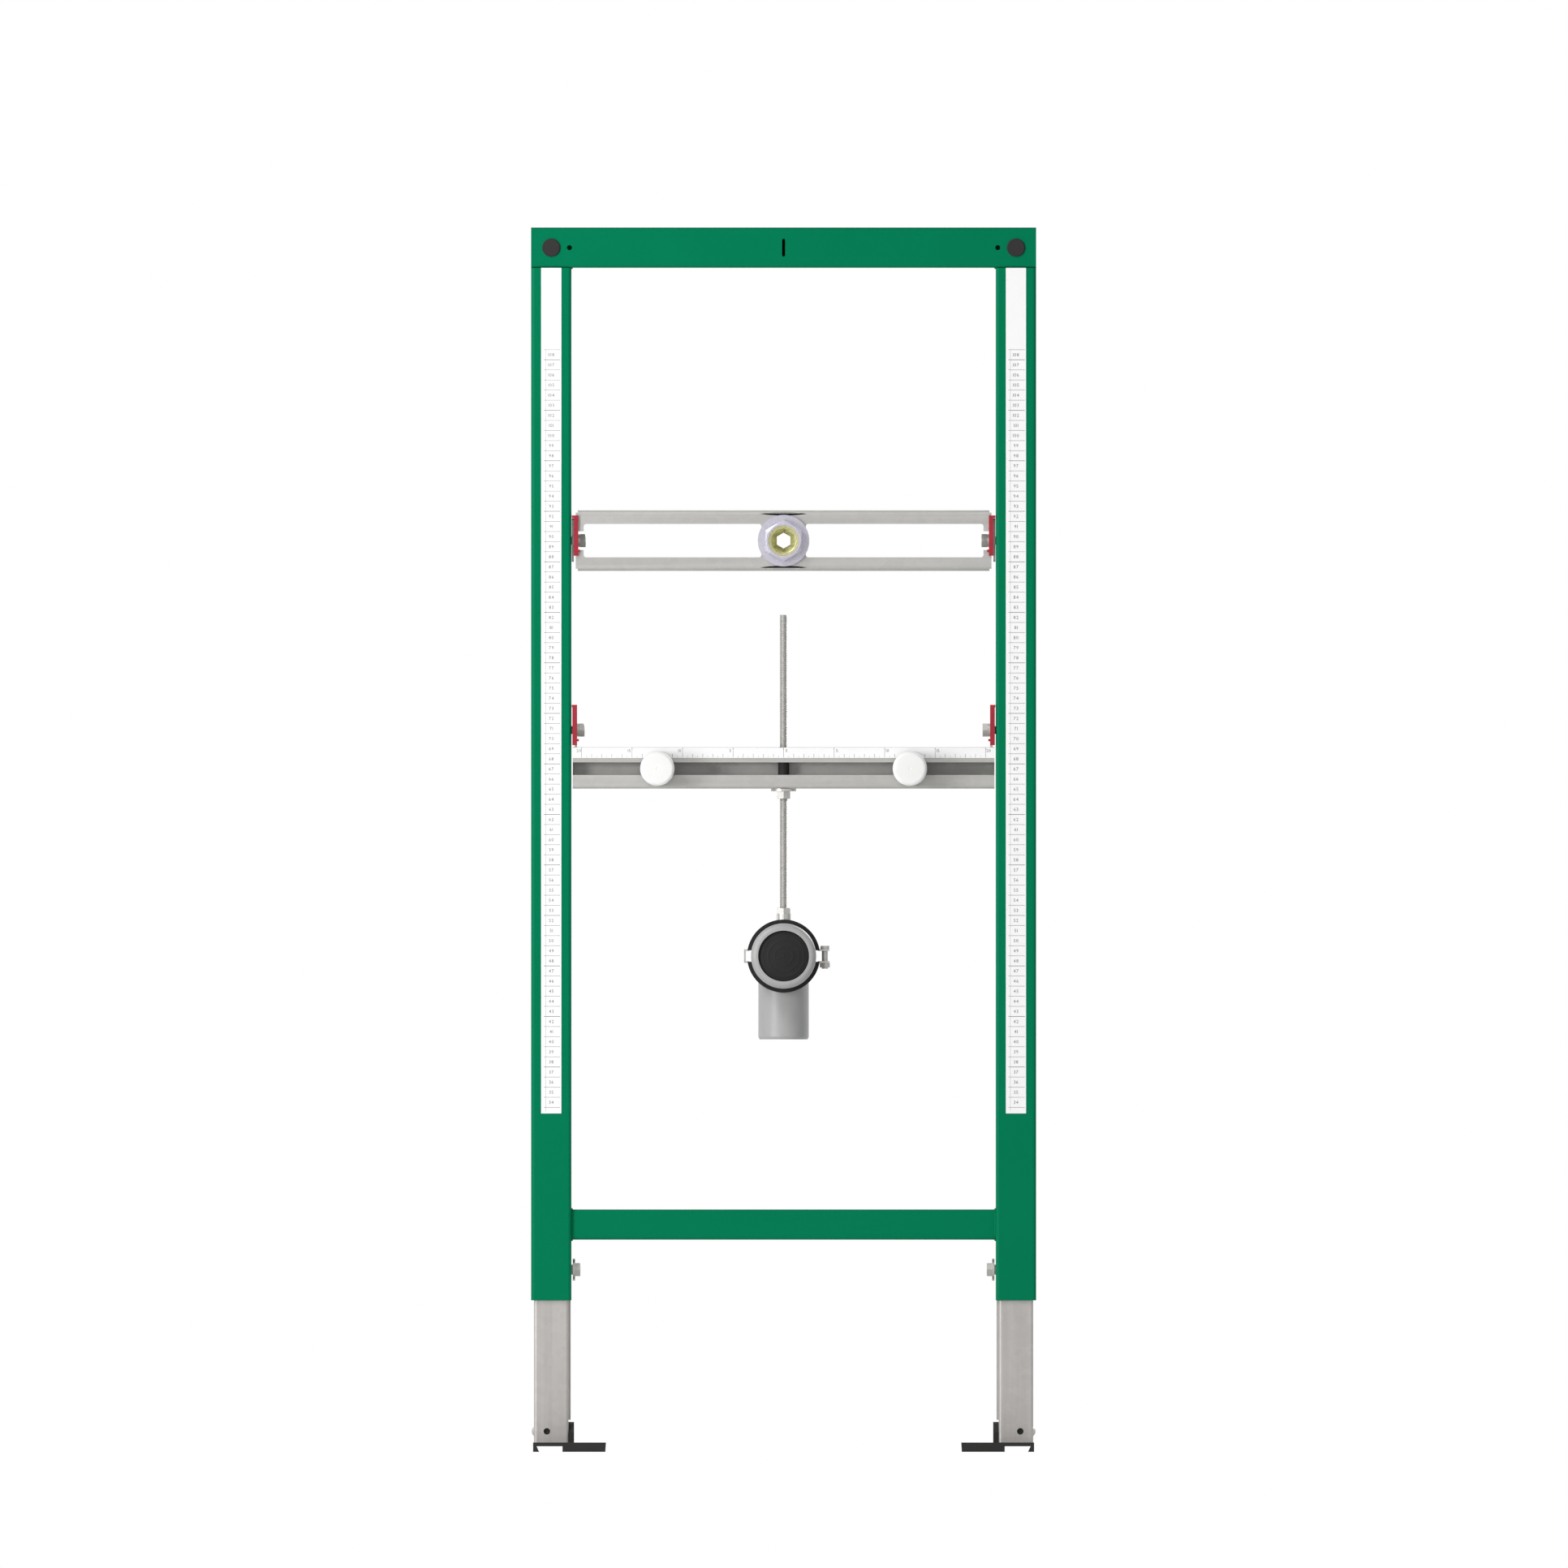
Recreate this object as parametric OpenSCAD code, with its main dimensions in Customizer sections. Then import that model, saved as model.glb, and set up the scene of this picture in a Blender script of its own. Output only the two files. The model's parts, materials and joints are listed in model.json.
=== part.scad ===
// Installation frame for a wall-hung urinal: a powder-coated steel frame on two
// telescopic legs, with an inlet rail, a C-rail for the fixing studs and a
// hanging pipe clamp that holds the waste elbow. Front is -Y, the floor is z = 0.

/* [Frame] */
// Outer width of the frame
frame_w = 500; // [420:5:620]
// Height of the frame's top above the floor
frame_h = 1212; // [1120:1:1320]
// Width and depth of a post and of the top bar
post_w = 40; // [36:1:50]
// Wall of the posts and bars
post_wall = 2.5; // [1.5:0.1:3]
// Outer bend radius of the posts and bars
post_bend = 3.5; // [2.6:0.1:5]
// Width of the slot on the inner side of each post
slot_w = 15; // [13:0.5:18]
// Height of the posts' lower ends above the floor
post_bottom = 150; // [120:1:170]
// Height and depth of the bottom bar
bottom_bar_size = 30; // [24:1:38]
// Height of the bottom bar's middle above the floor
bottom_bar_z = 225; // [205:1:300]

/* [Top bar details] */
// Distance of a wall fixing from the top bar's end
fixing_inset = 20; // [16:1:24]
// Diameter of a wall fixing hole in the back of the top bar
fixing_hole_d = 11; // [8:0.5:14]
// Diameter of an access hole in the front of the top bar
access_hole_d = 15; // [13:0.5:20]
// Diameter of the plug's head
plug_head_d = 18; // [16:0.5:26]
// Distance from a wall fixing to the small hole beside it
small_hole_offset = 18; // [14:0.5:30]
// Diameter of the small holes
small_hole_d = 5; // [3:0.5:6]
// Width of the centre mark slot
centre_slot_w = 3; // [2:0.5:5]
// Height of the centre mark slot
centre_slot_h = 17.7; // [10:0.1:25]

/* [Scales] */
// Width of the scale strip on each post
scale_w = 20; // [14:1:28]
// Lower end of the post scales above the floor
scale_bottom = 335; // [300:1:450]
// Thickness of the scale strips
scale_t = 0.4; // [0.2:0.1:0.8]
// Height of the scale strip on the C-rail
rail_scale_h = 10.6; // [8:0.1:12]

/* [Legs and feet] */
// Play between a leg and its post on each side
leg_play = 0.4; // [0.3:0.05:0.8]
// Wall of the legs
leg_wall = 2; // [1.5:0.1:2.5]
// Length of a leg
leg_len = 350; // [300:5:400]
// Width of the slot in a leg
leg_slot_w = 10; // [9:0.5:10.5]
// Clearance of the leg's lips below the inner face of the post
lip_inset = 0.8; // [0.5:0.1:1.5]
// Thickness of a foot
foot_h = 9.3; // [8:0.1:12]
// Thickness of the foot's web over its recess
foot_web = 3.8; // [3:0.1:5]
// Depth of a foot from front to back
foot_depth = 130; // [110:2:160]
// Reach of a foot inward from its post's outer face
foot_reach = 74.2; // [66:0.1:90]
// Distance of the foot's outer edge from the post's outer face
foot_inset = 2; // [1:0.5:4]
// Height of the upright flange above the foot
flange_h = 20.4; // [18:0.1:26]
// Thickness of the upright flange
flange_t = 5.5; // [4:0.1:7]
// Width of the upright flange from front to back
flange_w = 30; // [24:1:40]
// Diameter of a floor anchor hole
anchor_hole_d = 11; // [8:0.5:13]
// Distance between the two anchor holes of a foot
anchor_spacing = 90; // [70:2:100]
// Distance of the anchor holes from the post's outer face
anchor_inset = 60; // [56:0.5:62]
// Height of the leg clamp bolts above the floor
leg_bolt_z = 180.4; // [165:0.1:190]
// Gap between a leg bolt's washer and the post
leg_washer_gap = 1.3; // [1:0.1:2]
// Reach of a leg bolt behind its washer
leg_bolt_reach = 22; // [18:0.5:26]
// Thickness of the nut inside a leg
leg_nut_t = 8; // [6:0.5:9]
// Height of the nut inside a leg
leg_nut_h = 20; // [16:1:26]
// Thread diameter of a foot bolt
foot_bolt_d = 6; // [5:0.5:6]

/* [Upper rail] */
// Height of the upper rail's middle above the floor
upper_rail_z = 902; // [860:1:1000]
// Height of the upper rail
upper_rail_h = 60; // [56:1:70]
// Depth of both rails behind their front faces
upper_rail_depth = 27.5; // [24:0.5:30]
// Sheet thickness of the rails
rail_t = 2.5; // [2:0.1:3]
// Outer bend radius of the rails
rail_bend = 4; // [3.5:0.1:5]
// Gap between the upper rail's end and the post
upper_end_gap = 4.2; // [4:0.1:6]
// Height of the windows in the upper rail
window_h = 33; // [26:1:36]
// Distance from a window to the rail's end
window_end = 8; // [6:0.5:12]
// Width of the bridge that carries the inlet fitting
bridge_w = 44; // [40:1:50]
// Corner radius of the windows
window_r = 2.5; // [1:0.5:5]
// Height of the notch that gives access to a bolt
notch_h = 18.5; // [16:0.5:22]
// Width of the curved reliefs above and below the inlet
relief_w = 46.5; // [40:0.5:52]
// Height of the curved reliefs
relief_h = 3.4; // [2:0.1:4]

/* [Inlet fitting] */
// Diameter of the inlet nut's round flange
inlet_flange_d = 51; // [46:0.5:54]
// Thickness of the inlet nut's flange
inlet_flange_t = 3; // [2:0.5:4]
// Width across the flats of the inlet nut
inlet_hex = 35.6; // [32:0.1:38]
// Height of the inlet nut's hexagon
inlet_hex_h = 9; // [6:0.5:12]
// Thickness of the rubber pad behind the rail
inlet_pad_t = 3; // [2:0.5:4]
// Length of the hexagon collar behind the pad
inlet_collar_len = 8; // [6:0.5:10]
// Outside diameter of the brass body
inlet_body_d = 30; // [29:0.1:31]
// Core diameter of the threaded socket in the brass body
inlet_socket_d = 24.1; // [22:0.1:25]
// Length of the threaded socket
inlet_socket_len = 12; // [8:1:13]
// Width of the bevel round the socket's mouth
inlet_mouth_bevel = 1.8; // [1:0.1:2]
// Width across the flats of the hexagon hole through the brass body
inlet_key_w = 13.5; // [10:0.5:14.5]
// Length of the funnel that leads into the hexagon hole
inlet_funnel_len = 4; // [2:0.5:5]
// Diameter of the supply thread at the back
supply_d = 20.9; // [18:0.1:22]
// Length of the supply thread
supply_len = 15; // [12:1:18]

/* [Lower rail] */
// Height of the lower rail's middle above the floor
lower_rail_z = 677; // [640:1:720]
// Height of the lower rail
lower_rail_h = 41; // [38:1:46]
// Depth of the lower rail
lower_rail_depth = 25; // [22:0.5:28]
// Gap between the lower rail's end and the post
lower_end_gap = 1.3; // [1:0.1:2]
// Width of the slot along the lower rail
rail_slot_w = 12.5; // [12:0.1:16]
// Drop of that slot below the rail's middle
rail_slot_drop = 0.7; // [0:0.1:1.5]
// Distance from the end lug's inner face to the post
lug_inner = 5.6; // [5.2:0.1:7]
// Height of the end lugs above the rail
lug_h = 38; // [34:1:44]
// Height of the lower bolts above the rail's top
lower_bolt_rise = 17; // [14:0.5:22]

/* [Clamping parts] */
// Nominal thread diameter of the clamp bolts and of the rod
thread_d = 8; // [6:1:10]
// Width across the flats of their heads and nuts
hex_size = 13; // [10:0.5:17]
// Height of a bolt head
head_h = 5.3; // [4:0.1:6.5]
// Diameter of the washer under a rail bolt's head
rail_washer_d = 13; // [12:0.5:16]
// Thickness of that washer
rail_washer_t = 2.2; // [1.5:0.1:2.5]
// Diameter of the washer under a leg bolt's head
leg_washer_d = 22; // [18:0.5:25]
// Thickness of that washer
leg_washer_t = 2.3; // [1.6:0.1:3]
// Reach of a rail bolt into its slot nut's back
rail_bolt_tail = 5; // [2:0.5:8]
// Thickness of a slot nut
slot_nut_t = 6.2; // [5:0.1:8]
// Height of a slot nut
slot_nut_h = 30; // [24:1:34]
// Overlap of a slot nut over each side of the slot
slot_nut_lap = 5.5; // [4:0.5:6]
// Width of an upper slide plate from front to back
slide_plate_w = 28; // [22:1:32]
// Height of an upper slide plate
slide_plate_h = 44; // [40:1:50]
// Distance from a clip's lower end up to the bolt of its rail
clip_drop = 15; // [13:0.5:18]
// Depth of a positioning clip
clip_depth = 24; // [20:0.5:26]
// Height of a positioning clip
clip_h = 40; // [36:1:46]
// Thickness of a clip's jaw
clip_jaw = 1.8; // [1.5:0.1:2.2]
// Thickness of a clip's hook
clip_hook_t = 2.6; // [2:0.1:3.2]

/* [Fixing studs] */
// Distance between the two fixing studs
stud_spacing = 250; // [180:5:300]
// Diameter of a fixing stud
stud_d = 12; // [8:1:12]
// Reach of a stud in front of the rail
stud_reach = 36; // [30:1:42]
// Width of a stud's head and of its collar
stud_head_w = 24; // [20:1:26]
// Thickness of a stud's head
stud_head_t = 6; // [5:0.5:8]
// Thickness of a stud's collar
stud_collar_t = 3; // [2:0.5:4]
// Diameter of a stud's protective cap
cap_d = 34; // [28:0.5:38]
// Length of a cap
cap_len = 38; // [32:1:42]
// Wall of a cap
cap_wall = 2.2; // [1.6:0.1:3]
// Width of the bevel round a cap's face
cap_bevel = 3.4; // [2:0.1:5]

/* [Rod and pipe clamp] */
// Length of the threaded rod
rod_len = 300; // [250:5:340]
// Height of the rod's top above the lower rail's middle
rod_rise = 151.6; // [130:0.1:165]
// Outside diameter of the rod's guide sleeve
sleeve_d = 11; // [10.5:0.5:13]
// Diameter of the washer under the lower rail
rod_washer_d = 25; // [20:0.5:30]
// Thickness of that washer
rod_washer_t = 2.6; // [2:0.1:4]
// Height of the nut under the lower rail
rod_nut_h = 7.4; // [6:0.1:9]
// Height of the clamp's boss
boss_h = 11.6; // [10:0.1:14]
// Diameter of the clamp boss's foot
boss_d = 14.2; // [13:0.1:16]
// Thickness of the clamp band
band_t = 1.9; // [1.5:0.1:2.5]
// Width of the clamp band
band_w = 20; // [16:1:24]
// Thickness of the rubber under the band
lining_t = 2; // [1.5:0.1:3]
// Width of the rubber rims beside the band
lining_rim = 2; // [1.5:0.1:3]
// Height of the gaps between the clamp's two halves
clamp_gap = 11.2; // [8:0.2:14]
// Distance of the clamp screw from the clamp's middle
clamp_screw_x = 40.8; // [40:0.1:44]
// Thread diameter of the clamp screw
clamp_screw_d = 6; // [5:0.5:6]
// Diameter of the clamp screw's head
clamp_head_d = 9; // [8:0.5:10]
// Height of the clamp screw's head
clamp_head_h = 3.4; // [2.5:0.1:4]
// Width across the flats of the clamp screw's nut
clamp_nut_w = 10; // [8:0.5:10]
// Height of the clamp screw's nut
clamp_nut_h = 4.6; // [4:0.1:6]
// Thickness of the clamp's ears
ear_t = 1.8; // [1.5:0.1:2.2]

/* [Waste elbow] */
// Outside diameter of the waste pipe
pipe_d = 50; // [40:1:50]
// Wall of the waste pipe
pipe_wall = 2; // [1.8:0.1:3]
// Outside diameter of the elbow's socket
socket_d = 64.6; // [62:0.1:68]
// Reach of the socket in front of the rod
socket_front = 25; // [20:0.5:26]
// Length of the socket
socket_len = 30; // [28:1:34]
// Bend radius of the elbow's centre line
elbow_r = 30; // [27:1:34]
// Distance from the socket's axis down to the spigot's end
elbow_drop = 82.5; // [75:0.5:100]
// Height of the bevel at the spigot's end
spigot_bevel = 2.6; // [1.5:0.1:4]

/* [Hidden] */
$fn = 48;
// Clearance of a piece that slides on another
slide_gap = 0.3;
// Clearance of a thread in its nut, modelled smooth
thread_gap = 0.02;
// Clearance of a bolt in its through hole
bolt_gap = 0.4;
eps = 0.5;

// Posts
post_x = frame_w / 2 - post_w / 2;
inner_x = frame_w / 2 - post_w;
lip_x = inner_x + post_wall;
front_y = -post_w / 2;
top_bar_z = frame_h - post_w / 2;
fixing_x = frame_w / 2 - fixing_inset;
post_top = frame_h - post_w;

// Legs
washer_x = inner_x - leg_washer_gap;
leg_size = post_w - 2 * post_wall - 2 * leg_play;
leg_inner_x = post_x - leg_size / 2;
leg_outer_x = post_x + leg_size / 2;
leg_lip_x = inner_x + lip_inset;
leg_lip_start = foot_h + flange_h + 2;
foot_bolt_z = foot_h + 11;
leg_hole_offset = 4.3;
leg_hole_d = 6.5;

// Rails sit a little behind the posts' front faces, the clips flush with them
rail_front_y = front_y + 2.5;
upper_end_x = inner_x - upper_end_gap;
upper_plate_x = upper_end_x - rail_t;
lower_end_x = inner_x - lower_end_gap;
lug_plate_x = inner_x - lug_inner;
lug_outer_x = lug_plate_x + rail_t;
lower_rail_top = lower_rail_z + lower_rail_h / 2;
lower_rail_bottom = lower_rail_z - lower_rail_h / 2;
rail_slot_z = lower_rail_z - rail_slot_drop;
lower_bolt_z = lower_rail_top + lower_bolt_rise;
slide_x = inner_x - slide_gap;

// The rod hangs in the middle of the lower rail's channel
rod_y = rail_front_y + lower_rail_depth / 2;
rod_top = lower_rail_z + rod_rise;
rod_bottom = rod_top - rod_len;
ring_r = socket_d / 2 + lining_t + band_t;
clamp_z = rod_bottom - ring_r - 1.6;
ear_z = clamp_gap / 2 - 0.6;
pipe_r = pipe_d / 2;
bore_r = pipe_r - pipe_wall;
socket_r = socket_d / 2;
socket_front_y = rod_y - socket_front;
socket_back_y = socket_front_y + socket_len;
socket_neck = 5;
elbow_y = socket_back_y + socket_neck + elbow_r;
mouth_r = pipe_r + 0.2;
chamber_r = socket_r - 2.6;
chamber_y = 4;
chamber_len = 10;
seal_y = 3;

// Helpers

// Pieces of the left side are drawn at negative x and mirrored for the right
module on_side(s) {
  if (s < 0) children();
  else mirror([1, 0, 0]) children();
}

// Stands a flat drawing up in the YZ plane and carries it along X
module along_x(x0, x1) {
  translate([x0, 0, 0]) rotate([90, 0, 90]) linear_extrude(height = x1 - x0) children();
}

// Stands a flat drawing up in the XZ plane and carries it along Y
module along_y(y0, y1) {
  translate([0, y1, 0]) rotate([90, 0, 0]) linear_extrude(height = y1 - y0) children();
}

module x_cylinder(x0, x1, d) {
  translate([x0, 0, 0]) rotate([0, 90, 0]) cylinder(h = x1 - x0, d = d);
}

module y_cylinder(y0, y1, d) {
  translate([0, y1, 0]) rotate([90, 0, 0]) cylinder(h = y1 - y0, d = d);
}

module y_cone(y0, y1, d0, d1) {
  translate([0, y0, 0]) rotate([-90, 0, 0]) cylinder(h = y1 - y0, d1 = d0, d2 = d1);
}

// A hexagon with two flats facing up and down
module hexagon(flats) {
  circle(d = flats / cos(30), $fn = 6);
}

// Hexagon head or nut standing on z = 0, its upper corners turned off at 30 degrees
module hex_head(flats, h) {
  top_r = 0.48 * flats;
  side_r = 0.6 * flats;
  intersection() {
    linear_extrude(height = h) hexagon(flats);
    rotate_extrude() {
      polygon([[0, -1], [side_r, -1], [side_r, h - (side_r - top_r) * tan(30)], [top_r, h], [0, h]]);
    }
  }
}

// The same head pointing along X from x0
module x_hex_head(x0, flats, h) {
  translate([x0, 0, 0]) rotate([90, 0, 90]) hex_head(flats, h);
}

module rounded_rect(w, h, r) {
  square([w - 2 * r, h], center = true);
  square([w, h - 2 * r], center = true);
  for (sx = [-1, 1], sy = [-1, 1]) {
    translate([sx * (w / 2 - r), sy * (h / 2 - r)]) circle(r = r);
  }
}

module tube_section(w, h, wall, bend) {
  difference() {
    rounded_rect(w, h, bend);
    rounded_rect(w - 2 * wall, h - 2 * wall, bend - wall);
  }
}

// Frame

module top_bar() {
  color("seagreen") difference() {
    translate([0, 0, top_bar_z]) along_x(-frame_w / 2, frame_w / 2) {
      tube_section(post_w, post_w, post_wall, post_bend);
    }
    for (s = [-1, 1]) {
      translate([s * fixing_x, 0, top_bar_z]) {
        y_cylinder(-post_w / 2 - eps, 0, access_hole_d);
        y_cylinder(0, post_w / 2 + eps, fixing_hole_d);
        translate([-s * small_hole_offset, 0, 0]) y_cylinder(-post_w / 2 - eps, 0, small_hole_d);
      }
    }
    translate([0, 0, top_bar_z]) along_y(-post_w / 2 - eps, 0) {
      rounded_rect(centre_slot_w, centre_slot_h, centre_slot_w / 2 - 0.01);
    }
  }
}

// A C-section post whose slot faces the other post
module post(s) {
  color("seagreen") on_side(s) {
    translate([-post_x, 0, post_bottom]) linear_extrude(height = post_top - post_bottom) {
      difference() {
        tube_section(post_w, post_w, post_wall, post_bend);
        translate([0, -slot_w / 2]) square([post_w, slot_w]);
      }
    }
  }
}

module bottom_bar() {
  color("seagreen") translate([0, 0, bottom_bar_z]) along_x(-inner_x, inner_x) {
    tube_section(bottom_bar_size, bottom_bar_size, post_wall, post_bend);
  }
}

// A push-in plug with a low domed head and a hollow stem
module wall_plug(s) {
  head_t = 1.6;
  bevel = 0.8;
  stem = post_wall + 3;
  stem_r = access_hole_d / 2 - 0.1;
  hollow_r = stem_r - 1.5;
  on_side(s) color("dimgray") translate([-fixing_x, front_y, top_bar_z]) {
    rotate([90, 0, 0]) rotate_extrude() difference() {
      union() {
        square([plug_head_d / 2, head_t - bevel]);
        polygon([[0, 0], [plug_head_d / 2, head_t - bevel], [plug_head_d / 2 - bevel, head_t], [0, head_t]]);
        translate([0, -stem]) square([stem_r, stem + eps]);
      }
      translate([-eps, -stem - eps]) square([hollow_r + eps, stem + eps - bevel]);
    }
  }
}

module scale_strip(s) {
  color("white") on_side(s) {
    translate([-post_x - scale_w / 2, front_y - scale_t, scale_bottom]) {
      cube([scale_w, scale_t, post_top - scale_bottom]);
    }
  }
}

// Hexagon bolt with its washer, standing off the post on the nut's neck
module leg_bolt(s) {
  head_x = washer_x - leg_washer_t;
  color("silver") on_side(s) translate([0, 0, leg_bolt_z]) {
    x_cylinder(-washer_x, -head_x, leg_washer_d);
    x_hex_head(-head_x - 0.2, hex_size, head_h + 0.2);
    x_cylinder(-washer_x - leg_bolt_reach, -washer_x + eps, thread_d);
  }
}

// Slot nut inside the leg, with a neck through both slots
module leg_nut(s) {
  nut_x = leg_inner_x + leg_wall + slide_gap;
  nut_w = leg_size - 2 * leg_wall - 8;
  neck_w = leg_slot_w - 2 * slide_gap;
  color("silver") on_side(s) translate([0, 0, leg_bolt_z]) difference() {
    union() {
      along_x(-nut_x - leg_nut_t, -nut_x) rounded_rect(nut_w, leg_nut_h, 2);
      along_x(-nut_x - eps, -washer_x) rounded_rect(neck_w, leg_nut_h / 2, 1);
    }
    x_cylinder(-nut_x - leg_nut_t - eps, -washer_x + eps, thread_d + 2 * thread_gap);
  }
}

// Telescopic leg: a C-section whose lips turn out into the post's slot
module leg(s) {
  color("silver") on_side(s) difference() {
    union() {
      translate([-post_x, 0, foot_h]) linear_extrude(height = leg_len) difference() {
        tube_section(leg_size, leg_size, leg_wall, leg_wall + 0.8);
        translate([0, -leg_slot_w / 2]) square([leg_size, leg_slot_w]);
      }
      for (y = [-leg_slot_w / 2 - leg_wall, leg_slot_w / 2]) {
        translate([-leg_inner_x - leg_wall, y, leg_lip_start]) {
          cube([leg_inner_x + leg_wall - leg_lip_x, leg_wall, foot_h + leg_len - leg_lip_start]);
        }
      }
    }
    translate([0, 0, foot_bolt_z]) x_cylinder(-frame_w / 2, -post_x, foot_bolt_d + bolt_gap);
    translate([-post_x - leg_hole_offset, 0, foot_bolt_z]) y_cylinder(-leg_size / 2 - eps, 0, leg_hole_d);
  }
}

// Moulded foot: a plate with a recess under the leg, a spigot inside the leg
// and an upright flange against the leg's inner face
module foot(s) {
  outer = frame_w / 2 - foot_inset;
  inner = frame_w / 2 - foot_reach;
  spigot = leg_size - 2 * leg_wall - 2 * slide_gap;
  recess_inner = leg_inner_x + 6;
  recess_h = foot_h - foot_web;
  color("dimgray") on_side(s) difference() {
    union() {
      along_y(-foot_depth / 2, foot_depth / 2) polygon([
        [-outer, 0], [-outer + 6, 0], [-outer + 3.6, recess_h], [-recess_inner, recess_h], [-recess_inner, 0],
        [-inner - 0.6, 0], [-inner, foot_h], [-outer, foot_h]
      ]);
      translate([-post_x - spigot / 2, -spigot / 2, foot_h - eps]) cube([spigot, spigot, flange_h + eps]);
      along_x(-leg_inner_x, -leg_inner_x + flange_t) difference() {
        union() {
          translate([-flange_w / 2, foot_h - eps]) square([flange_w, flange_h / 2 + eps]);
          translate([0, foot_h + flange_h - flange_w / 2]) circle(d = flange_w);
        }
        translate([-flange_w, -flange_w]) square([2 * flange_w, flange_w + foot_h - eps]);
      }
    }
    translate([0, 0, foot_bolt_z]) {
      x_cylinder(-post_x - leg_size / 2, -leg_inner_x + flange_t + eps, foot_bolt_d + 2 * thread_gap);
    }
    for (sy = [-1, 1]) {
      translate([-frame_w / 2 + anchor_inset, sy * anchor_spacing / 2, -eps]) {
        cylinder(h = foot_h + 2 * eps, d = anchor_hole_d);
      }
    }
  }
}

// Pan-head bolt through the leg, the spigot and the flange
module foot_bolt(s) {
  color("silver") on_side(s) translate([0, 0, foot_bolt_z]) {
    x_cylinder(-leg_outer_x - 0.01, -leg_inner_x + flange_t - 1, foot_bolt_d);
    translate([-leg_outer_x, 0, 0]) rotate([0, -90, 0]) rotate_extrude() intersection() {
      translate([0, -3.5]) circle(r = 5.8);
      square([5, 4]);
    }
  }
}

// Clamping parts shared by both rails

// Bolt with a captive washer; its seat is the face that the washer rests on
module rail_bolt(seat_x, z) {
  color("silver") translate([0, 0, z]) {
    x_cylinder(-seat_x, -seat_x + rail_washer_t, rail_washer_d);
    x_hex_head(-seat_x + rail_washer_t - 0.2, hex_size, head_h + 0.2);
    x_cylinder(-lip_x - slot_nut_t - rail_bolt_tail, -seat_x + eps, thread_d);
  }
}

module slot_nut(z) {
  nut_x = lip_x + slide_gap;
  color("silver") translate([0, 0, z]) difference() {
    along_x(-nut_x - slot_nut_t, -nut_x) rounded_rect(slot_w + 2 * slot_nut_lap, slot_nut_h, 3);
    x_cylinder(-nut_x - slot_nut_t - eps, -nut_x + eps, thread_d + 2 * thread_gap);
  }
}

// Positioning clip: a jaw behind the end plate, a bridge in front of it and a hook on top
module clip(front_x, plate_x, back_x, bolt_z) {
  catch_rise = 3.8;
  catch_len = 1.8;
  bottom_z = bolt_z - clip_drop;
  color("firebrick") difference() {
    union() {
      translate([-back_x, front_y, bottom_z]) cube([back_x - front_x, rail_front_y - front_y, clip_h]);
      translate([-back_x, front_y, bottom_z]) cube([back_x - plate_x, clip_depth, clip_h]);
      translate([-slide_x, front_y, bottom_z + clip_h - clip_hook_t]) {
        cube([slide_x - plate_x, clip_depth, clip_hook_t]);
      }
      translate([-front_x - eps, front_y, bottom_z + catch_rise]) cube([catch_len + eps, 1.6, 2.4]);
    }
    translate([0, 0, bolt_z]) x_cylinder(-inner_x, 0, thread_d + bolt_gap);
  }
}

// Upper rail

module upper_rail_section() {
  translate([rail_front_y + upper_rail_depth / 2, 0]) difference() {
    rounded_rect(upper_rail_depth, upper_rail_h, rail_bend);
    translate([rail_t + rail_bend, 0]) square([upper_rail_depth, upper_rail_h - 2 * rail_t], center = true);
    rounded_rect(upper_rail_depth - 2 * rail_t, upper_rail_h - 2 * rail_t, rail_bend - rail_t);
  }
}

// A lens between two arcs
module lens(w, h) {
  r = (w * w / 4 + h * h / 4) / h;
  intersection() {
    translate([0, r - h / 2]) circle(r = r, $fn = 180);
    translate([0, h / 2 - r]) circle(r = r, $fn = 180);
  }
}

module upper_rail() {
  window_outer = upper_end_x - window_end;
  window_len = window_outer - bridge_w / 2;
  color("lightgray") translate([0, 0, upper_rail_z]) difference() {
    union() {
      along_x(-upper_end_x, upper_end_x) upper_rail_section();
      for (s = [-1, 1]) on_side(s) along_x(-upper_end_x, -upper_plate_x) {
        translate([rail_front_y + upper_rail_depth / 2, 0]) {
          rounded_rect(upper_rail_depth - 1, upper_rail_h - 2 * rail_t + 1, 2);
        }
      }
    }
    for (s = [-1, 1]) on_side(s) {
      along_y(rail_front_y - eps, rail_front_y + rail_t + eps) {
        translate([-bridge_w / 2 - window_len / 2, 0]) rounded_rect(window_len, window_h, window_r);
        translate([-upper_plate_x, -notch_h / 2]) square([upper_plate_x - window_outer + window_r, notch_h]);
      }
      x_cylinder(-upper_end_x - eps, -upper_plate_x + eps, thread_d + bolt_gap);
      for (sz = [-1, 1]) {
        translate([-upper_end_x - eps, rail_front_y - eps, sz * upper_rail_h / 2 - 2.2]) {
          cube([2 + eps, upper_rail_depth + 2 * eps, 4.4]);
        }
      }
    }
    y_cylinder(rail_front_y - eps, rail_front_y + rail_t + eps, inlet_body_d + 0.6);
    for (sz = [-1, 1]) along_y(rail_front_y - eps, rail_front_y + rail_t + 1) {
      translate([0, sz * (upper_rail_h / 2 - rail_bend + 0.5)]) lens(relief_w, relief_h);
    }
  }
}

module upper_clip(s) {
  on_side(s) clip(upper_plate_x - 0.1, upper_end_x, upper_end_x + clip_jaw, upper_rail_z);
}

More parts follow.
